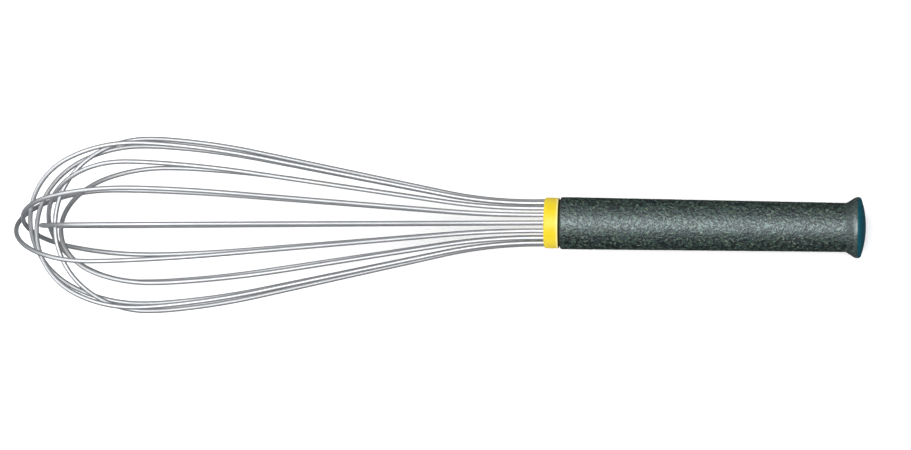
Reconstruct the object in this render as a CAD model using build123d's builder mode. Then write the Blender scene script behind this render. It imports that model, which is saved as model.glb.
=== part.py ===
"""Balloon whisk lying on a table: eight spring-wire loops set in a ringed handle.

The cage's axis runs in the XZ plane, to its tip at -X. It rises towards the tip,
so the whisk rests on the rim of its rear end and on two neighbouring wires. The
handle runs to +X and points slightly sideways from the cage's line. All lengths
are in millimetres and all angles in degrees.

Stations along the axis, called u, count from the front face of the coloured
ring. They are positive towards the tip and negative into the handle.
"""

import math
import os

from build123d import *

os.makedirs("parts", exist_ok=True)

# ---------------------------------------------------------------- placing
COLLAR_X = 49.82  # centre of the ring's front face, along X
COLLAR_Y = 0.173  # centre of the ring's front face, along Y
COLLAR_Z = 26.6005  # centre of the ring's front face, above the table
AXIS_RISE = 4.834  # how far the axis climbs towards the tip
ROLL = -10.04  # turns the cage so that two wires meet the table together
HANDLE_SWING = 1.2  # how far the handle points sideways from the cage's line

# ---------------------------------------------------------------- wires
WIRE_R = 1.1
LEG_R = 10.0  # radius of the circle on which the wires leave the ring
INNER_R = 8.0  # radius of that circle at the wires' inner ends
INNER_END = -33.0  # station of the inner ends
CRANK = 10.0  # angle at which the legs close in behind the ring's face
CRANK_BEND = 20.0  # bend radius of that crank
STUB = 4.0  # straight wire in front of the ring
FLARE = 12.3  # angle at which the legs open after the stub
FLARE_LENGTH = 43.5  # length of wire over which they open
BELLY_SHARE = 0.6  # share of the flare taken back by the first belly arc
BELLY_RATIO = 0.25  # length of the second belly arc over the first
LEG_FIT = 0.05  # radial gap around a wire in its hole

# Each loop: angle of its plane about the axis, reach of its tip, radius of its
# belly, station of its belly, turn of its shoulder, sideways lean. Loops nest,
# so each tip clears the next by more than one wire.
LOOPS = [
    (-22.0, 249.0, 44.5, 209.0, 32.0, 0.0),
    (22.0, 246.0, 42.0, 192.0, 32.0, 0.5),
    (67.5, 243.0, 41.0, 192.0, 28.0, 0.5),
    (-67.5, 240.0, 41.0, 192.0, 28.0, -0.5),
    (0.5, 237.0, 42.0, 192.0, 32.0, 0.0),
    (43.0, 234.0, 41.5, 194.0, 33.0, 0.5),
    (91.5, 231.0, 40.5, 187.0, 38.0, 0.0),
    (-44.5, 228.0, 38.5, 182.0, 27.0, 0.0),
]

# ---------------------------------------------------------------- ring
RING_R = 11.9
RING_LENGTH = 6.9
RING_FRONT_ROUND = 0.7
RING_REAR_ROUND = 0.5
SHOULDER_R = 11.0  # the step behind the band, on which the handle seats
SHOULDER_LENGTH = 0.5
SPIGOT_R = 10.85
SPIGOT_LENGTH = 7.0

# ---------------------------------------------------------------- handle
GRIP_START = -RING_LENGTH - SHOULDER_LENGTH  # leaves a narrow groove behind the ring
GRIP_FRONT_R = 12.3
GRIP_REAR_R = 11.55
GRIP_FRONT_ROUND = 1.2
NECK = -140.9  # station where the grip ends and the flare starts
FLARE_CONE = 32.0  # angle of the rear flare
RIM_R = 14.3
RIM_BLEND = 3.6  # radius of the curve that brings the flare to the rim
FRONT_BORE_R = 10.9
FRONT_BORE_END = -38.0
BORE_R = 9.2

# ---------------------------------------------------------------- end cap
CAP_SIDE = 0.2  # straight side of the cap before its edge curves in
CAP_ROUND = 1.5  # radius of that edge
REAR_END = -150.1  # station of the top of the dome
PLUG_R = 9.15
PLUG_LENGTH = 9.0
PLUG_WALL = 2.0
CAP_FLOOR = 1.5  # the hollow of the plug stops this far in front of the seam

# ---------------------------------------------------------------- resin
RESIN_REAR = -36.0


def axis_point(u, side=0.0, up=0.0):
    """A point at station u, side along +Y and up across the axis."""
    rise = math.radians(AXIS_RISE)
    return Vector(
        COLLAR_X - u * math.cos(rise) + up * math.sin(rise),
        COLLAR_Y + side,
        COLLAR_Z + u * math.sin(rise) + up * math.cos(rise),
    )


COLLAR = axis_point(0.0)
TO_TIP = axis_point(1.0) - COLLAR
UPWARD = axis_point(0.0, 0.0, 1.0) - COLLAR
FORWARD = TO_TIP + Vector(0, math.tan(math.radians(HANDLE_SWING)), 0)
SIDE_PLANE = Plane(origin=COLLAR, x_dir=FORWARD, z_dir=FORWARD.cross(UPWARD))
HANDLE_AXIS = Axis(COLLAR, FORWARD)


def loop_plane(angle, lean):
    """The plane of one loop: its x runs to the tip, its y across the loop."""
    turn = math.radians(angle + ROLL)
    across = Vector(0, math.sin(turn), 0) + UPWARD * math.cos(turn)
    sideways = Vector(0, math.cos(turn), 0) - UPWARD * math.sin(turn)
    forward = TO_TIP + sideways * math.tan(math.radians(lean))
    return Plane(origin=COLLAR, x_dir=forward, z_dir=forward.cross(across))


def travel(heading, turn, length):
    """How far a wire of this length goes along and across, while it turns."""
    start = math.radians(heading)
    bend = math.radians(turn)
    if turn == 0:
        return length * math.cos(start), length * math.sin(start)
    radius = length / bend
    along = radius * (math.sin(start + bend) - math.sin(start))
    across = radius * (math.cos(start) - math.cos(start + bend))
    return along, across


def two_lengths(first, second, along, across):
    """Lengths of two runs, given each one's travel per millimetre, that cover the gap."""
    scale = first[0] * second[1] - first[1] * second[0]
    one = (along * second[1] - across * second[0]) / scale
    two = (first[0] * across - first[1] * along) / scale
    return one, two


def inner_steps():
    """The cranked end of a leg, from its inner end to the ring's front face."""
    bend = CRANK_BEND * math.radians(CRANK)
    bends_along = 2 * CRANK_BEND * math.sin(math.radians(CRANK))
    bends_across = 2 * CRANK_BEND * (1 - math.cos(math.radians(CRANK)))
    slope = (LEG_R - INNER_R - bends_across) / math.sin(math.radians(CRANK))
    level = -INNER_END - bends_along - slope * math.cos(math.radians(CRANK))
    return [(0.0, level), (CRANK, bend), (0.0, slope), (-CRANK, bend)]


def half_loop(reach, belly, station, shoulder_turn):
    """Half a loop as (turn, length) steps, from the inner end of a leg to the tip."""
    opening = travel(0.0, FLARE, FLARE_LENGTH)
    first_turn = FLARE * BELLY_SHARE
    second_turn = FLARE - first_turn
    straight_unit = travel(FLARE, 0, 1.0)
    first_unit = travel(FLARE, -first_turn, 1.0)
    second_unit = travel(second_turn, -second_turn, 1.0)
    belly_unit = (
        first_unit[0] + BELLY_RATIO * second_unit[0],
        first_unit[1] + BELLY_RATIO * second_unit[1],
    )
    straight, first_arc = two_lengths(
        straight_unit,
        belly_unit,
        station - STUB - opening[0],
        belly - LEG_R - opening[1],
    )
    nose_turn = 90 - shoulder_turn
    shoulder_unit = travel(0.0, -shoulder_turn, 1.0)
    nose_unit = travel(-shoulder_turn, -nose_turn, 1.0)
    shoulder, nose = two_lengths(shoulder_unit, nose_unit, reach - station, -belly)
    return inner_steps() + [
        (0.0, STUB),
        (FLARE, FLARE_LENGTH),
        (0.0, straight),
        (-first_turn, first_arc),
        (-second_turn, BELLY_RATIO * first_arc),
        (-shoulder_turn, shoulder),
        (-nose_turn, nose),
    ]


def draw_steps(steps):
    """Draws a wire's centre line in the current plane, from its inner end."""
    along = INNER_END
    across = INNER_R
    heading = 0.0
    for turn, length in steps:
        go_along, go_across = travel(heading, turn, length)
        if turn == 0:
            Line((along, across), (along + go_along, across + go_across))
        else:
            angle = math.radians(heading)
            JernArc(
                start=(along, across),
                tangent=(math.cos(angle), math.sin(angle)),
                radius=abs(length / math.radians(turn)),
                arc_size=turn,
            )
        along += go_along
        across += go_across
        heading += turn


# ---------------------------------------------------------------- wire loops
wire_loops = []
for number, (angle, reach, belly, station, shoulder_turn, lean) in enumerate(LOOPS, start=1):
    half = half_loop(reach, belly, station, shoulder_turn)
    whole = half + half[::-1]
    with BuildPart() as wire_loop:
        with BuildLine(loop_plane(angle, lean)) as wire_line:
            draw_steps(whole)
        with BuildSketch(Plane(origin=wire_line.line @ 0, z_dir=wire_line.line % 0)):
            Circle(WIRE_R)
        sweep()
    wire_loop.part.label = f"wire_loop_{number}"
    wire_loops.append(wire_loop)
    bends = [length / math.radians(abs(turn)) for turn, length in half if turn]
    wire_length = sum(length for turn, length in whole)
    print(
        wire_loop.part.label,
        "length",
        round(wire_length, 1),
        "volume over section",
        round(wire_loop.part.volume / (math.pi * WIRE_R**2), 1),
        "bend radii",
        [round(radius, 1) for radius in bends],
    )

# The holes that the legs run through in the ring and the resin, one by one.
leg_holes = []
for angle, *profile, lean in LOOPS:
    for side, side_lean in ((0, lean), (180, -lean)):
        with BuildPart() as leg_hole:
            with BuildLine(loop_plane(angle + side, side_lean)) as leg_line:
                draw_steps(inner_steps() + [(0.0, STUB)])
            with BuildSketch(Plane(origin=leg_line.line @ 0, z_dir=leg_line.line % 0)):
                Circle(WIRE_R + LEG_FIT)
            sweep()
        leg_holes.append(leg_hole)

# ---------------------------------------------------------------- wire holder
with BuildPart() as wire_holder:
    with BuildSketch(SIDE_PLANE):
        with BuildLine():
            Line((0, 0), (0, RING_R - RING_FRONT_ROUND))
            JernArc(
                start=(0, RING_R - RING_FRONT_ROUND),
                tangent=(0, 1),
                radius=RING_FRONT_ROUND,
                arc_size=90,
            )
            Line((-RING_FRONT_ROUND, RING_R), (RING_REAR_ROUND - RING_LENGTH, RING_R))
            JernArc(
                start=(RING_REAR_ROUND - RING_LENGTH, RING_R),
                tangent=(-1, 0),
                radius=RING_REAR_ROUND,
                arc_size=90,
            )
            Polyline(
                (-RING_LENGTH, RING_R - RING_REAR_ROUND),
                (-RING_LENGTH, SHOULDER_R),
                (GRIP_START, SHOULDER_R),
                (GRIP_START, SPIGOT_R),
                (-RING_LENGTH - SPIGOT_LENGTH, SPIGOT_R),
                (-RING_LENGTH - SPIGOT_LENGTH, 0),
                (0, 0),
            )
        make_face()
    revolve(axis=HANDLE_AXIS)
    blank_volume = wire_holder.part.volume
    for leg_hole in leg_holes:
        add(leg_hole.part, mode=Mode.SUBTRACT)
print("mean volume of a hole in the holder", (blank_volume - wire_holder.part.volume) / len(leg_holes))
wire_holder.part.label = "wire_holder"

# ---------------------------------------------------------------- handle
flare_across = RIM_R - GRIP_REAR_R - RIM_BLEND * (1 - math.cos(math.radians(FLARE_CONE)))
FLARE_END = NECK - flare_across / math.tan(math.radians(FLARE_CONE))
RIM_FACE = FLARE_END - RIM_BLEND * math.sin(math.radians(FLARE_CONE))
with BuildPart() as handle:
    with BuildSketch(SIDE_PLANE):
        with BuildLine():
            Line((GRIP_START, FRONT_BORE_R), (GRIP_START, GRIP_FRONT_R - GRIP_FRONT_ROUND))
            JernArc(
                start=(GRIP_START, GRIP_FRONT_R - GRIP_FRONT_ROUND),
                tangent=(0, 1),
                radius=GRIP_FRONT_ROUND,
                arc_size=90,
            )
            Line((GRIP_START - GRIP_FRONT_ROUND, GRIP_FRONT_R), (NECK, GRIP_REAR_R))
            Line((NECK, GRIP_REAR_R), (FLARE_END, GRIP_REAR_R + flare_across))
            flare_angle = math.radians(180 - FLARE_CONE)
            JernArc(
                start=(FLARE_END, GRIP_REAR_R + flare_across),
                tangent=(math.cos(flare_angle), math.sin(flare_angle)),
                radius=RIM_BLEND,
                arc_size=FLARE_CONE,
            )
            Polyline(
                (RIM_FACE, RIM_R),
                (RIM_FACE, BORE_R),
                (FRONT_BORE_END, BORE_R),
                (FRONT_BORE_END, FRONT_BORE_R),
                (GRIP_START, FRONT_BORE_R),
            )
        make_face()
    revolve(axis=HANDLE_AXIS)
handle.part.label = "handle"

# ---------------------------------------------------------------- end cap
plug_end = RIM_FACE + PLUG_LENGTH
round_start = RIM_FACE - CAP_SIDE
dome_rise = round_start - REAR_END
round_centre = RIM_R - CAP_ROUND
dome_r = (dome_rise**2 + round_centre**2 - CAP_ROUND**2) / (2 * (dome_rise - CAP_ROUND))
dome_turn = math.degrees(math.asin(round_centre / (dome_r - CAP_ROUND)))
with BuildPart() as end_cap:
    with BuildSketch(SIDE_PLANE):
        with BuildLine():
            Line((RIM_FACE, RIM_R), (round_start, RIM_R))
            edge_round = JernArc(
                start=(round_start, RIM_R),
                tangent=(-1, 0),
                radius=CAP_ROUND,
                arc_size=90 - dome_turn,
            )
            JernArc(
                start=edge_round @ 1,
                tangent=edge_round % 1,
                radius=dome_r,
                arc_size=dome_turn,
            )
            Polyline(
                (REAR_END, 0),
                (RIM_FACE + CAP_FLOOR, 0),
                (RIM_FACE + CAP_FLOOR, PLUG_R - PLUG_WALL),
                (plug_end, PLUG_R - PLUG_WALL),
                (plug_end, PLUG_R),
                (RIM_FACE, PLUG_R),
                (RIM_FACE, RIM_R),
            )
        make_face()
    revolve(axis=HANDLE_AXIS)
end_cap.part.label = "end_cap"

# ---------------------------------------------------------------- sealing resin
with BuildPart() as sealing_resin:
    with BuildSketch(SIDE_PLANE):
        with Locations(((RESIN_REAR - RING_LENGTH - SPIGOT_LENGTH) / 2, SPIGOT_R / 2)):
            Rectangle(-RESIN_REAR - RING_LENGTH - SPIGOT_LENGTH, SPIGOT_R)
    revolve(axis=HANDLE_AXIS)
    for leg_hole in leg_holes:
        add(leg_hole.part, mode=Mode.SUBTRACT)
sealing_resin.part.label = "sealing_resin"

# ---------------------------------------------------------------- hand-in
pieces = wire_loops + [wire_holder, handle, end_cap, sealing_resin]
for piece in pieces:
    export_step(piece.part, f"parts/{piece.part.label}.step")

boxes = [piece.part.bounding_box() for piece in pieces]
for piece, box in zip(pieces, boxes):
    solids = len(piece.part.solids())
    print(piece.part.label, "solids", solids, "volume", round(piece.part.volume, 1), box.min, box.max)
print("x", min(box.min.X for box in boxes), max(box.max.X for box in boxes))
print("y", min(box.min.Y for box in boxes), max(box.max.Y for box in boxes))
print("z", min(box.min.Z for box in boxes), max(box.max.Z for box in boxes))
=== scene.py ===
"""The balloon whisk, dressed for rendering on a pale floor.

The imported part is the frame. The wire loops, the ring, the handle and the end
cap are rebuilt here as finer meshes in the same place, and each one replaces its
CAD node. Lengths are in millimetres and angles in degrees, and vertices are in
metres. Stations count from the ring's front face, positive towards the tip.
"""

import math

import bmesh
import bpy
from mathutils import Matrix, Vector, noise


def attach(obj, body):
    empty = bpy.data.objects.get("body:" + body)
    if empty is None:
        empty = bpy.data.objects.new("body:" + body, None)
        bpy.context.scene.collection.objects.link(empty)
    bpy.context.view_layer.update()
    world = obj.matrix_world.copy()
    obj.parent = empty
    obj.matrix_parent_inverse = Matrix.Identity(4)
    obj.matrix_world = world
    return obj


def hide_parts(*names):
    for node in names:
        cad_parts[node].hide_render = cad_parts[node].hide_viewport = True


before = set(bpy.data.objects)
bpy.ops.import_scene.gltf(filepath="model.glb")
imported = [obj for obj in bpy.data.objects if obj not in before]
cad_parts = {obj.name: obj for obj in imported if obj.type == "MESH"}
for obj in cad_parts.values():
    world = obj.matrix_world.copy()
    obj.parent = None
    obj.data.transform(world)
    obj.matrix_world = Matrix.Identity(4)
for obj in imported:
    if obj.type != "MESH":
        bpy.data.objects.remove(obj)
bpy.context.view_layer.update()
MM = 0.001

# ---------------------------------------------------------------- the frame
COLLAR = Vector((49.82, 0.173, 26.6005))  # centre of the ring's front face
AXIS_RISE = 4.834  # how far the cage's axis climbs towards its tip
ROLL = -10.04  # turn of the cage about its axis
HANDLE_SWING = 1.2  # how far the handle points sideways from the cage's line

rise = math.radians(AXIS_RISE)
TO_TIP = Vector((-math.cos(rise), 0.0, math.sin(rise)))
UPWARD = Vector((math.sin(rise), 0.0, math.cos(rise)))
SIDEWAYS = Vector((0.0, 1.0, 0.0))
HANDLE_FORWARD = (TO_TIP + SIDEWAYS * math.tan(math.radians(HANDLE_SWING))).normalized()
HANDLE_SIDE = HANDLE_FORWARD.cross(UPWARD).normalized()


def across_cage(angle):
    """Unit vector across the cage's axis at this angle from upward."""
    turn = math.radians(angle)
    return SIDEWAYS * math.sin(turn) + UPWARD * math.cos(turn)


# ---------------------------------------------------------------- wire loops
WIRE_R = 1.1
LEG_R = 10.0  # radius of the circle on which the wires leave the ring
INNER_R = 8.0  # radius of that circle at the wires' inner ends
INNER_END = -33.0  # station of the inner ends
CRANK = 10.0  # angle at which the legs close in behind the ring's face
CRANK_BEND = 20.0  # bend radius of that crank
STUB = 4.0  # straight wire in front of the ring
FLARE = 12.3  # angle at which the legs open after the stub
FLARE_LENGTH = 43.5  # length of wire over which they open
BELLY_SHARE = 0.6  # share of the flare taken back by the first belly arc
BELLY_RATIO = 0.25  # length of the second belly arc over the first
WIRE_SIDES = 24
WIRE_STEP = 1.6  # spacing of the sections along a wire

# Each loop: angle, reach, belly radius, belly station, shoulder turn, lean.
LOOPS = [
    (-22.0, 249.0, 44.5, 209.0, 32.0, 0.0),
    (22.0, 246.0, 42.0, 192.0, 32.0, 0.5),
    (67.5, 243.0, 41.0, 192.0, 28.0, 0.5),
    (-67.5, 240.0, 41.0, 192.0, 28.0, -0.5),
    (0.5, 237.0, 42.0, 192.0, 32.0, 0.0),
    (43.0, 234.0, 41.5, 194.0, 33.0, 0.5),
    (91.5, 231.0, 40.5, 187.0, 38.0, 0.0),
    (-44.5, 228.0, 38.5, 182.0, 27.0, 0.0),
]


def travel(heading, turn, length):
    """How far a wire of this length goes along and across, while it turns."""
    start = math.radians(heading)
    bend = math.radians(turn)
    if turn == 0:
        return length * math.cos(start), length * math.sin(start)
    radius = length / bend
    along = radius * (math.sin(start + bend) - math.sin(start))
    across = radius * (math.cos(start) - math.cos(start + bend))
    return along, across


def two_lengths(first, second, along, across):
    """Lengths of two runs that cover the gap, given each one's travel per millimetre."""
    scale = first[0] * second[1] - first[1] * second[0]
    one = (along * second[1] - across * second[0]) / scale
    two = (first[0] * across - first[1] * along) / scale
    return one, two


def half_loop(reach, belly, station, shoulder_turn):
    """Half a loop as (turn, length) steps, from the inner end of a leg to the tip."""
    bend = CRANK_BEND * math.radians(CRANK)
    bends_along = 2 * CRANK_BEND * math.sin(math.radians(CRANK))
    bends_across = 2 * CRANK_BEND * (1 - math.cos(math.radians(CRANK)))
    slope = (LEG_R - INNER_R - bends_across) / math.sin(math.radians(CRANK))
    level = -INNER_END - bends_along - slope * math.cos(math.radians(CRANK))
    opening = travel(0.0, FLARE, FLARE_LENGTH)
    first_turn = FLARE * BELLY_SHARE
    second_turn = FLARE - first_turn
    first_unit = travel(FLARE, -first_turn, 1.0)
    second_unit = travel(second_turn, -second_turn, 1.0)
    belly_unit = (
        first_unit[0] + BELLY_RATIO * second_unit[0],
        first_unit[1] + BELLY_RATIO * second_unit[1],
    )
    straight, first_arc = two_lengths(
        travel(FLARE, 0, 1.0),
        belly_unit,
        station - STUB - opening[0],
        belly - LEG_R - opening[1],
    )
    nose_turn = 90 - shoulder_turn
    shoulder_unit = travel(0.0, -shoulder_turn, 1.0)
    nose_unit = travel(-shoulder_turn, -nose_turn, 1.0)
    shoulder, nose = two_lengths(shoulder_unit, nose_unit, reach - station, -belly)
    return [
        (0.0, level),
        (CRANK, bend),
        (0.0, slope),
        (-CRANK, bend),
        (0.0, STUB),
        (FLARE, FLARE_LENGTH),
        (0.0, straight),
        (-first_turn, first_arc),
        (-second_turn, BELLY_RATIO * first_arc),
        (-shoulder_turn, shoulder),
        (-nose_turn, nose),
    ]


def centre_line(steps):
    """Points along a loop in its own plane: (along, across, heading, distance)."""
    along, across, heading, distance = INNER_END, INNER_R, 0.0, 0.0
    points = [(along, across, heading, distance)]
    for turn, length in steps:
        parts = max(1, round(length / WIRE_STEP))
        for part in range(1, parts + 1):
            share = part / parts
            go_along, go_across = travel(heading, turn * share, length * share)
            here = (along + go_along, across + go_across)
            points.append((*here, heading + turn * share, distance + length * share))
        go_along, go_across = travel(heading, turn, length)
        along += go_along
        across += go_across
        heading += turn
        distance += length
    return points


def new_piece(name, mesh, material, cad_node):
    """Adds a smooth-shaded piece that replaces a CAD node and rides with the whisk."""
    piece = bpy.data.objects.new(name, mesh)
    bpy.context.scene.collection.objects.link(piece)
    for polygon in mesh.polygons:
        polygon.use_smooth = True
    mesh.materials.append(material)
    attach(piece, "root")
    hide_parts(cad_node)


def wire_mesh(name, angle, lean, steps):
    """A round wire swept along a loop, with its two ends closed."""
    across_loop = across_cage(angle + ROLL)
    sideways = across_cage(angle + ROLL + 90)
    forward = (TO_TIP + sideways * math.tan(math.radians(lean))).normalized()
    normal = forward.cross(across_loop).normalized()
    mesh = bmesh.new()
    uv_layer = mesh.loops.layers.uv.new("wire")
    rings = []
    distances = []
    for along, across, heading, distance in centre_line(steps):
        centre = COLLAR + forward * along + across_loop * across
        turn = math.radians(heading)
        outward = across_loop * math.cos(turn) - forward * math.sin(turn)
        ring = []
        for side in range(WIRE_SIDES):
            swing = 2 * math.pi * side / WIRE_SIDES
            spoke = outward * math.cos(swing) + normal * math.sin(swing)
            ring.append(mesh.verts.new((centre + spoke * WIRE_R) * MM))
        rings.append(ring)
        distances.append(distance)
    for row in range(len(rings) - 1):
        for side in range(WIRE_SIDES):
            after = (side + 1) % WIRE_SIDES
            corners = (
                (rings[row][side], row, side),
                (rings[row][after], row, side + 1),
                (rings[row + 1][after], row + 1, side + 1),
                (rings[row + 1][side], row + 1, side),
            )
            face = mesh.faces.new([corner[0] for corner in corners])
            for loop, (vertex, at_row, at_side) in zip(face.loops, corners):
                loop[uv_layer].uv = (distances[at_row] * MM, at_side / WIRE_SIDES)
    mesh.faces.new(rings[0][::-1])
    mesh.faces.new(rings[-1])
    bmesh.ops.recalc_face_normals(mesh, faces=mesh.faces)
    data = bpy.data.meshes.new(name)
    mesh.to_mesh(data)
    mesh.free()
    return data


# ---------------------------------------------------------------- turned pieces
def rounded(centre, radius, start, end, parts):
    """Outline points on an arc about centre, from start to end degrees."""
    arc = []
    for part in range(parts + 1):
        angle = math.radians(start + (end - start) * part / parts)
        reach = (radius * math.cos(angle), radius * math.sin(angle))
        arc.append((centre[0] + reach[0], centre[1] + reach[1]))
    return arc


def even_run(start, end, step):
    """Evenly spaced outline points from start to end, without the start."""
    parts = max(1, round(math.dist(start, end) / step))
    going = (end[0] - start[0], end[1] - start[1])
    shares = [part / parts for part in range(1, parts + 1)]
    return [(start[0] + going[0] * share, start[1] + going[1] * share) for share in shares]


def turned_mesh(name, profile, segments, relief=None, painted_light_and_wear=None):
    """Turns an outline of (station, radius) points about the handle's axis.

    relief tells how far a point at (station, radius, position) stands proud.
    painted_light_and_wear gives a station a value from -1 for painted shade through
    0 to 1 for a painted highlight; on the grip it also sets a duller or smoother finish.
    """
    mesh = bmesh.new()
    light_and_wear_mark = mesh.verts.layers.float.new("painted_light_and_wear")
    rings = []
    for station, radius in profile:
        centre = COLLAR + HANDLE_FORWARD * station
        if radius == 0.0:
            rings.append([mesh.verts.new(centre * MM)])
            continue
        ring = []
        for segment in range(segments):
            swing = 2 * math.pi * segment / segments
            spoke = UPWARD * math.cos(swing) + HANDLE_SIDE * math.sin(swing)
            point = centre + spoke * radius
            if relief:
                point += spoke * relief(station, radius, point)
            ring.append(mesh.verts.new(point * MM))
            if painted_light_and_wear:
                ring[-1][light_and_wear_mark] = painted_light_and_wear(station)
        rings.append(ring)
    for before, after in zip(rings, rings[1:]):
        for segment in range(segments):
            following = (segment + 1) % segments
            if len(before) == 1:
                mesh.faces.new((before[0], after[segment], after[following]))
            elif len(after) == 1:
                mesh.faces.new((before[segment], after[0], before[following]))
            else:
                mesh.faces.new(
                    (before[segment], after[segment], after[following], before[following])
                )
    bmesh.ops.recalc_face_normals(mesh, faces=mesh.faces)
    data = bpy.data.meshes.new(name)
    mesh.to_mesh(data)
    mesh.free()
    return data


# ---------------------------------------------------------------- materials
# Sockets of a Mix node that mixes colours.
MIX_FIRST = 6
MIX_SECOND = 7
MIX_RESULT = 2


class Shader:
    """A material's node tree, with short calls for the nodes used here."""

    def __init__(self, name):
        self.material = bpy.data.materials.new(name)
        self.material.use_nodes = True
        self.tree = self.material.node_tree
        self.surface = self.tree.nodes["Principled BSDF"]

    def node(self, kind, values=None, **settings):
        made = self.tree.nodes.new(kind)
        for key, value in settings.items():
            setattr(made, key, value)
        for key, value in (values or {}).items():
            made.inputs[key].default_value = value
        return made

    def link(self, source, target):
        self.tree.links.new(source, target)

    def place(self):
        return self.node("ShaderNodeTexCoord").outputs["Object"]

    def painted_light_and_wear(self):
        """The painted shade, painted highlight and wear that turned_mesh stores, from -1
        to 1.
        """
        return self.node("ShaderNodeAttribute", attribute_name="painted_light_and_wear").outputs["Fac"]

    def grain(self, place, scale, detail, roughness):
        made = self.node(
            "ShaderNodeTexNoise",
            {"Scale": scale, "Detail": detail, "Roughness": roughness},
        )
        self.link(place, made.inputs["Vector"])
        return made.outputs["Fac"]

    def span(self, source, low, high, to_low=0.0, to_high=1.0):
        """Carries the range low to high over to another range, and stops at its ends."""
        made = self.node(
            "ShaderNodeMapRange",
            {"From Min": low, "From Max": high, "To Min": to_low, "To Max": to_high},
        )
        self.link(source, made.inputs["Value"])
        return made.outputs["Result"]

    def math(self, operation, first, second):
        made = self.node("ShaderNodeMath", operation=operation)
        self.link(first, made.inputs[0])
        self.link(second, made.inputs[1])
        return made.outputs["Value"]

    def mix(self, share, first, second):
        """Mixes two colours, each one a tuple or a socket."""
        made = self.node("ShaderNodeMix", data_type="RGBA")
        self.link(share, made.inputs["Factor"])
        for socket, color in ((MIX_FIRST, first), (MIX_SECOND, second)):
            if isinstance(color, tuple):
                made.inputs[socket].default_value = (*color, 1.0)
            else:
                self.link(color, made.inputs[socket])
        return made.outputs[MIX_RESULT]

    def bump(self, height, strength, distance, normal=None):
        made = self.node("ShaderNodeBump", {"Strength": strength, "Distance": distance})
        self.link(height, made.inputs["Height"])
        if normal:
            self.link(normal, made.inputs["Normal"])
        return made.outputs["Normal"]

    def finish(self, color, roughness=None, normal=None, **fixed):
        """Links the surface's inputs, sets the fixed ones and returns the material."""
        self.link(color, self.surface.inputs["Base Color"])
        if roughness:
            self.link(roughness, self.surface.inputs["Roughness"])
        if normal:
            self.link(normal, self.surface.inputs["Normal"])
        for key, value in fixed.items():
            self.surface.inputs[key.replace("_", " ")].default_value = value
        return self.material


def spring_wire():
    """Bright drawn stainless wire, with faint draw marks along its length."""
    shader = Shader("spring_wire")
    along = shader.node("ShaderNodeUVMap", uv_map="wire").outputs["UV"]
    stretch = shader.node("ShaderNodeMapping")
    stretch.inputs["Scale"].default_value = (30.0, 18.0, 1.0)
    shader.link(along, stretch.inputs["Vector"])
    marks = shader.grain(stretch.outputs["Vector"], 3.0, 4.0, 0.65)
    place = shader.place()
    patches = shader.grain(place, 45.0, 2.0, 0.5)
    tint = shader.mix(
        shader.span(patches, 0.35, 0.7), (0.67, 0.68, 0.69), (0.60, 0.62, 0.65)
    )
    streaked = shader.mix(
        shader.span(marks, 0.35, 0.70, 0.0, 0.45), tint, (0.42, 0.43, 0.45)
    )
    roughness = shader.span(marks, 0.3, 0.7, 0.38, 0.48)
    normal = shader.bump(marks, 0.5, 0.00003)
    return shader.finish(streaked, roughness, normal, Metallic=0.8)


BLUE_GREEN_GLOSS = (0.84, 0.97, 1.0, 1.0)  # tint of the grip's highlights


def grip_composite():
    """Dark green moulded composite with olive flecks, pits painted dark as shade, and a
    coarse grain.

    The rim is rubbed smoother and painted paler as a highlight; the flare and the front
    edge get painted shade and are duller.
    """
    shader = Shader("grip_composite")
    place = shader.place()
    light_and_wear_mark = shader.painted_light_and_wear()
    grain = shader.grain(place, 620.0, 2.0, 0.6)
    fine = shader.grain(place, 980.0, 2.0, 0.6)
    cloud = shader.grain(place, 380.0, 3.0, 0.55)
    base = shader.mix(
        shader.span(cloud, 0.40, 0.60), (0.001, 0.018, 0.023), (0.012, 0.020, 0.007)
    )
    body = shader.mix(shader.span(grain, 0.53, 0.60), base, (0.030, 0.064, 0.043))
    flecked = shader.mix(
        shader.span(fine, 0.59, 0.65, 0.0, 0.9), body, (0.19, 0.25, 0.165)
    )
    level = shader.math(
        "MAXIMUM", shader.span(grain, 0.44, 0.51), shader.span(light_and_wear_mark, 0.0, 0.7)
    )
    # The pits are painted near-black: painted shade in the recesses.
    painted_pit_shade = shader.mix(level, (0.001, 0.003, 0.002), flecked)
    # The rim is painted paler: a painted highlight.
    painted_rim_highlight = shader.mix(
        shader.span(light_and_wear_mark, 0.0, 1.0, 0.0, 0.8), painted_pit_shade, (0.05, 0.065, 0.062)
    )
    # Painted shade: the front edge by the groove and the flare are painted darker.
    painted_shade = shader.mix(
        shader.span(light_and_wear_mark, -1.0, 0.0, 0.9, 0.0), painted_rim_highlight, (0.003, 0.006, 0.003)
    )
    roughness = shader.math(
        "SUBTRACT",
        shader.span(fine, 0.35, 0.65, 0.36, 0.54),
        shader.span(light_and_wear_mark, -1.0, 1.0, -0.16, 0.16),
    )
    coarse = shader.bump(level, 0.85, 0.00016)
    normal = shader.bump(fine, 0.7, 0.00024, coarse)
    return shader.finish(
        painted_shade,
        roughness,
        normal,
        Specular_IOR_Level=0.9,
        IOR=1.76,
        Specular_Tint=BLUE_GREEN_GLOSS,
    )


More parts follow.
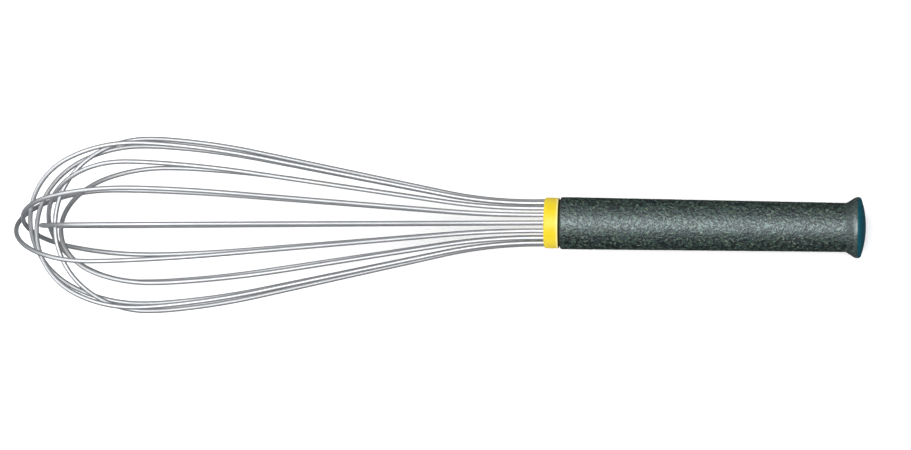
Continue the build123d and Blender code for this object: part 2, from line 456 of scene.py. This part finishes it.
def ring_plastic():
    """Smooth yellow moulded plastic with flow marks, fine scuffs and a painted highlight
    along its rear edge.

    The groove behind it gets painted shade.
    """
    shader = Shader("ring_plastic")
    place = shader.place()
    light_and_wear_mark = shader.painted_light_and_wear()
    flow = shader.grain(place, 180.0, 3.0, 0.5)
    scuffs = shader.grain(place, 1500.0, 3.0, 0.6)
    color = shader.mix(
        shader.span(flow, 0.35, 0.65), (0.87, 0.66, 0.006), (0.82, 0.61, 0.005)
    )
    # A painted highlight along the band's rear edge.
    with_painted_highlight = shader.mix(
        shader.span(light_and_wear_mark, 0.0, 1.0, 0.0, 0.8), color, (0.95, 0.88, 0.42)
    )
    # Painted shade in the groove behind the band.
    painted_shade = shader.mix(
        shader.span(light_and_wear_mark, -1.0, 0.0, 0.95, 0.0), with_painted_highlight, (0.012, 0.020, 0.004)
    )
    roughness = shader.span(scuffs, 0.3, 0.7, 0.38, 0.52)
    normal = shader.bump(scuffs, 0.15, 0.00005)
    return shader.finish(painted_shade, roughness, normal, Specular_IOR_Level=0.7)


def cap_plastic():
    """Smooth dark blue-green plastic with a faint orange-peel surface."""
    shader = Shader("cap_plastic")
    place = shader.place()
    peel = shader.grain(place, 900.0, 2.0, 0.5)
    cloud = shader.grain(place, 350.0, 4.0, 0.6)
    color = shader.mix(
        shader.span(cloud, 0.35, 0.65), (0.0, 0.064, 0.090), (0.001, 0.084, 0.118)
    )
    roughness = shader.span(cloud, 0.35, 0.65, 0.30, 0.44)
    normal = shader.bump(peel, 0.5, 0.00008)
    return shader.finish(color, roughness, normal, Specular_IOR_Level=0.2)


def potting_resin():
    """Cast amber resin, slightly cloudy."""
    shader = Shader("potting_resin")
    place = shader.place()
    cloud = shader.grain(place, 150.0, 4.0, 0.6)
    color = shader.mix(
        shader.span(cloud, 0.35, 0.65), (0.32, 0.24, 0.12), (0.24, 0.17, 0.08)
    )
    roughness = shader.span(cloud, 0.3, 0.7, 0.20, 0.35)
    normal = shader.bump(cloud, 0.2, 0.0001)
    return shader.finish(color, roughness, normal)


# ---------------------------------------------------------------- the pieces
wire_look = spring_wire()
for number, loop in enumerate(LOOPS, start=1):
    angle, reach, belly, station, shoulder_turn, lean = loop
    half = half_loop(reach, belly, station, shoulder_turn)
    mesh = wire_mesh(f"wire_{number}", angle, lean, half + half[::-1])
    new_piece(f"wire_{number}", mesh, wire_look, f"wire_loop_{number}")

# The ring: a rounded front corner, a flat band with a painted highlight on its rear
# edge, then the step on which the handle seats and the spigot inside the handle.
# The legs run through its face.
RING_R = 11.9
RING_LENGTH = 6.9
RING_FRONT_ROUND = 1.1  # softer than the CAD's, and inside it
RING_REAR_ROUND = 0.5
RING_PAINTED_HIGHLIGHT = 0.9  # width of the painted highlight along the band's rear
RING_SEGMENTS = 192
SHOULDER_R = 11.0
SHOULDER_LENGTH = 0.5
SPIGOT_R = 10.85
SPIGOT_LENGTH = 7.0
FACE_STEP = 0.8  # spacing of the outline's points on the face
BAND_STEP = 0.3  # and on the band
GRIP_START = -RING_LENGTH - SHOULDER_LENGTH
ring_outline = [(0.0, 0.0)]
ring_outline += even_run((0.0, 0.0), (0.0, RING_R - RING_FRONT_ROUND), FACE_STEP)
ring_outline += rounded(
    (-RING_FRONT_ROUND, RING_R - RING_FRONT_ROUND), RING_FRONT_ROUND, 0, 90, 8
)[1:]
ring_outline += even_run(
    (-RING_FRONT_ROUND, RING_R), (RING_REAR_ROUND - RING_LENGTH, RING_R), BAND_STEP
)
ring_outline += rounded(
    (RING_REAR_ROUND - RING_LENGTH, RING_R - RING_REAR_ROUND), RING_REAR_ROUND, 90, 180, 6
)[1:]
ring_outline += [
    (-RING_LENGTH, SHOULDER_R),
    (GRIP_START, SHOULDER_R),
    (GRIP_START, SPIGOT_R),
    (-RING_LENGTH - SPIGOT_LENGTH, SPIGOT_R),
    (-RING_LENGTH - SPIGOT_LENGTH, 0.0),
]


def ring_painted_light(station):
    """The band's rear edge gets a painted highlight, and the groove behind it gets painted
    shade.
    """
    if station < RING_REAR_ROUND * 0.6 - RING_LENGTH:
        return -1.0
    return max(0.0, 1.0 - (station + RING_LENGTH - RING_REAR_ROUND) / RING_PAINTED_HIGHLIGHT)


new_piece(
    "ring",
    turned_mesh("ring", ring_outline, RING_SEGMENTS, painted_light_and_wear=ring_painted_light),
    ring_plastic(),
    "wire_holder",
)

# The handle: rounded front, long taper, flare and rim, open at both ends.
GRIP_FRONT_R = 12.3
GRIP_REAR_R = 11.55
GRIP_FRONT_ROUND = 1.2
GRIP_SEGMENTS = 216
GRIP_STEP = 0.36  # spacing of the outline's points, fine enough for the grain
NECK = -140.9  # station where the grip ends and the flare starts
FLARE_CONE = 32.0  # angle of the rear flare
RIM_R = 14.3
RIM_BLEND = 3.6  # radius of the curve that brings the flare to the rim
FRONT_BORE_R = 10.9
FRONT_BORE_END = -38.0
BORE_R = 9.2
GRAIN_DEPTH = 0.24  # the deepest that the grain is cut into the surface
GRAIN_PITCH = 0.9
GRAIN_MEAN = 0.35  # share of that depth where the noise is zero
GRAIN_SWING = 0.5
GRAIN_FADE = 0.8  # how fast the noise's octaves fade
GRAIN_LACUNARITY = 2.1
GRAIN_OCTAVES = 2
GRAIN_MARGIN = 0.1  # smooth part of the front face
PAINTED_SHADE_LENGTH = 1.3  # length of the painted shade on the front edge
PAINTED_SHADE_RUN = 0.6  # share of that length over which it gets darkest
FLARE_SHADE_AND_DULLING = -0.5  # the flare gets painted shade and is duller than the grip
RIM_HIGHLIGHT_RUN = 0.8  # length over which the rim's painted highlight and smoothing come in
RIM_HIGHLIGHT_MARGIN = 0.5  # how far in front of the flare's end it starts
flare_across = RIM_R - GRIP_REAR_R - RIM_BLEND * (1 - math.cos(math.radians(FLARE_CONE)))
FLARE_END = NECK - flare_across / math.tan(math.radians(FLARE_CONE))
RIM_FACE = FLARE_END - RIM_BLEND * math.sin(math.radians(FLARE_CONE))
RIM_HIGHLIGHT_START = FLARE_END + RIM_HIGHLIGHT_MARGIN
grip_outline = [(FRONT_BORE_END, BORE_R), (FRONT_BORE_END, FRONT_BORE_R)]
grip_outline += [(GRIP_START, FRONT_BORE_R)]
grip_outline += rounded(
    (GRIP_START - GRIP_FRONT_ROUND, GRIP_FRONT_R - GRIP_FRONT_ROUND),
    GRIP_FRONT_ROUND,
    0,
    90,
    6,
)
grip_outline += even_run(
    (GRIP_START - GRIP_FRONT_ROUND, GRIP_FRONT_R), (NECK, GRIP_REAR_R), GRIP_STEP
)
grip_outline += even_run(
    (NECK, GRIP_REAR_R), (FLARE_END, GRIP_REAR_R + flare_across), GRIP_STEP
)
grip_outline += rounded(
    (RIM_FACE, RIM_R - RIM_BLEND), RIM_BLEND, 90 - FLARE_CONE, 90, 7
)[1:]
grip_outline += [(RIM_FACE, BORE_R), (FRONT_BORE_END, BORE_R)]


def grip_painted_light_and_wear(station):
    """The handle gets painted shade and a duller finish at its front edge and on its
    flare, and a painted highlight and a smoother finish on its rim.
    """
    if station > GRIP_START - PAINTED_SHADE_LENGTH:
        painted_shade = station - GRIP_START + PAINTED_SHADE_LENGTH
        return -min(1.0, painted_shade / (PAINTED_SHADE_RUN * PAINTED_SHADE_LENGTH))
    # The flare gets painted shade; the rim beyond it gets a painted highlight.
    if RIM_HIGHLIGHT_START < station < NECK:
        return FLARE_SHADE_AND_DULLING
    return min(1.0, max(0.0, (RIM_HIGHLIGHT_START - station) / RIM_HIGHLIGHT_RUN))


def grip_relief(station, radius, point):
    """The grain is cut into the outside only, and is shallower on the front edge, the
    flare and the rim.
    """
    if radius <= SHOULDER_R or station > GRIP_START - GRAIN_MARGIN:
        return 0.0
    bumps = noise.fractal(point / GRAIN_PITCH, GRAIN_FADE, GRAIN_LACUNARITY, GRAIN_OCTAVES)
    depth = min(1.0, max(0.0, GRAIN_MEAN - GRAIN_SWING * bumps))
    return -GRAIN_DEPTH * depth * (1.0 - abs(grip_painted_light_and_wear(station)))


new_piece(
    "grip",
    turned_mesh("grip", grip_outline, GRIP_SEGMENTS, grip_relief, grip_painted_light_and_wear),
    grip_composite(),
    "handle",
)

# The end cap: a rounded edge running into a shallow dome, and a hollow plug.
CAP_SIDE = 0.2  # straight side of the cap before its edge curves in
CAP_ROUND = 1.5  # radius of that edge
CAP_SEGMENTS = 128
SEAM_DEPTH = 0.12  # small bevel at the seam with the rim
SEAM_LENGTH = 0.08
REAR_END = -150.1  # station of the top of the dome
PLUG_R = 9.15
PLUG_LENGTH = 9.0
PLUG_WALL = 2.0
CAP_FLOOR = 1.5  # the plug's hollow stops this far in front of the seam
round_start = RIM_FACE - CAP_SIDE
dome_rise = round_start - REAR_END
round_centre = RIM_R - CAP_ROUND
dome_r = (dome_rise**2 + round_centre**2 - CAP_ROUND**2) / (2 * (dome_rise - CAP_ROUND))
dome_turn = math.degrees(math.asin(round_centre / (dome_r - CAP_ROUND)))
plug_end = RIM_FACE + PLUG_LENGTH
cap_outline = [
    (RIM_FACE + CAP_FLOOR, 0.0),
    (RIM_FACE + CAP_FLOOR, PLUG_R - PLUG_WALL),
    (plug_end, PLUG_R - PLUG_WALL),
    (plug_end, PLUG_R),
    (RIM_FACE, PLUG_R),
    (RIM_FACE, RIM_R - SEAM_DEPTH),
    (RIM_FACE - SEAM_LENGTH, RIM_R),
]
cap_outline += rounded((round_start, round_centre), CAP_ROUND, 90, 180 - dome_turn, 10)
cap_outline += rounded((REAR_END + dome_r, 0.0), dome_r, 180 - dome_turn, 180, 24)[1:-1]
cap_outline += [(REAR_END, 0.0)]
new_piece(
    "rear_cap",
    turned_mesh("rear_cap", cap_outline, CAP_SEGMENTS),
    cap_plastic(),
    "end_cap",
)

# The resin is inside the handle and keeps its CAD shape.
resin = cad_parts["sealing_resin"]
resin.material_slots[0].material = potting_resin()

# ---------------------------------------------------------------- camera
CAMERA_DISTANCE = 2500.0
CAMERA_TILT = 4.0  # how far the view is tilted from square on to the cage's axis
CAMERA_ROLL = -0.3
AIM_STATION = 41.8
AIM_DROP = 0.8
SENSOR = 36.0
LENS = 210.7
CLIP_END = 50.0  # in metres

toward = across_cage(ROLL)
image_up = across_cage(ROLL + 90)
tilt = math.radians(CAMERA_TILT)
camera_back = toward * math.cos(tilt) - TO_TIP * math.sin(tilt)
camera_left = TO_TIP * math.cos(tilt) + toward * math.sin(tilt)
roll = math.radians(CAMERA_ROLL)
camera_right = image_up * math.sin(roll) - camera_left * math.cos(roll)
camera_up = image_up * math.cos(roll) + camera_left * math.sin(roll)
aim = COLLAR + TO_TIP * AIM_STATION - image_up * AIM_DROP
camera_data = bpy.data.cameras.new("camera")
camera_data.sensor_width = SENSOR
camera_data.lens = LENS
camera_data.clip_end = CLIP_END
camera = bpy.data.objects.new("camera", camera_data)
facing = Matrix((camera_right, camera_up, camera_back)).transposed()
eye = (aim + camera_back * CAMERA_DISTANCE) * MM
camera.matrix_world = Matrix.Translation(eye) @ facing.to_4x4()
bpy.context.scene.collection.objects.link(camera)
bpy.context.scene.camera = camera


# ---------------------------------------------------------------- lights
LIT_POINT = Vector((0.0, 0.0, 0.03))  # in metres, as are the lamps' sizes


def soft_light(name, direction, distance, width, height, radiance):
    """Adds a rectangular lamp of this radiance that faces the middle of the whisk."""
    data = bpy.data.lights.new(name, "AREA")
    data.shape = "RECTANGLE"
    data.size = width
    data.size_y = height
    data.energy = radiance * math.pi * width * height
    lamp = bpy.data.objects.new(name, data)
    lamp.location = LIT_POINT + direction.normalized() * distance
    lamp.rotation_euler = direction.to_track_quat("Z", "Y").to_euler()
    bpy.context.scene.collection.objects.link(lamp)


beside_camera = camera_back + camera_up * 0.02 - camera_right * 0.08
over_tip = TO_TIP + UPWARD * 0.8
soft_light("key", beside_camera, distance=3.0, width=2.3, height=2.0, radiance=4.4)
soft_light("tip_side", over_tip, distance=2.2, width=3.0, height=2.5, radiance=1.5)

# ---------------------------------------------------------------- floor, world
FLOOR_HALF = 3.0  # in metres
FLOOR_GLOW = 0.45  # a little light of its own keeps the shadows faint
floor_mesh = bmesh.new()
bmesh.ops.create_grid(floor_mesh, x_segments=8, y_segments=8, size=FLOOR_HALF)
floor_data = bpy.data.meshes.new("floor")
floor_mesh.to_mesh(floor_data)
floor_mesh.free()
floor = bpy.data.objects.new("floor", floor_data)
bpy.context.scene.collection.objects.link(floor)
paper = Shader("floor_paper")
mottle = paper.grain(paper.place(), 4.0, 2.0, 0.5)
paper_tone = paper.mix(mottle, (0.90, 0.90, 0.90), (0.88, 0.88, 0.88))
paper.link(paper_tone, paper.surface.inputs["Emission Color"])
paper.finish(
    paper_tone, Roughness=0.9, Specular_IOR_Level=0.1, Emission_Strength=FLOOR_GLOW
)
floor_data.materials.append(paper.material)
floor.visible_glossy = False  # else its reflection washes out the dark grip

# Seen directly, the studio is nearly white. It lights the whisk as a dim room
# with a brighter ceiling.
world = bpy.data.worlds.new("studio")
world.use_nodes = True
bpy.context.scene.world = world
sky = world.node_tree
background = sky.nodes["Background"]
outward = sky.nodes.new("ShaderNodeTexCoord")
split = sky.nodes.new("ShaderNodeSeparateXYZ")
ramp = sky.nodes.new("ShaderNodeValToRGB")
ramp.color_ramp.elements.new(0.52)
below, horizon, ceiling = ramp.color_ramp.elements
below.position = 0.38
below.color = (0.05, 0.055, 0.06, 1.0)
horizon.color = (0.06, 0.065, 0.07, 1.0)
ceiling.color = (0.50, 0.50, 0.50, 1.0)
shift = sky.nodes.new("ShaderNodeMapRange")
shift.inputs["From Min"].default_value = -1.0
shift.inputs["From Max"].default_value = 1.0
ray = sky.nodes.new("ShaderNodeLightPath")
choose = sky.nodes.new("ShaderNodeMix")
choose.data_type = "RGBA"
choose.inputs[MIX_SECOND].default_value = (0.95, 0.95, 0.95, 1.0)
sky.links.new(outward.outputs["Generated"], split.inputs["Vector"])
sky.links.new(split.outputs["Z"], shift.inputs["Value"])
sky.links.new(shift.outputs["Result"], ramp.inputs["Fac"])
sky.links.new(ray.outputs["Is Camera Ray"], choose.inputs["Factor"])
sky.links.new(ramp.outputs["Color"], choose.inputs[MIX_FIRST])
sky.links.new(choose.outputs[MIX_RESULT], background.inputs["Color"])

bpy.context.scene.view_settings.view_transform = "Standard"
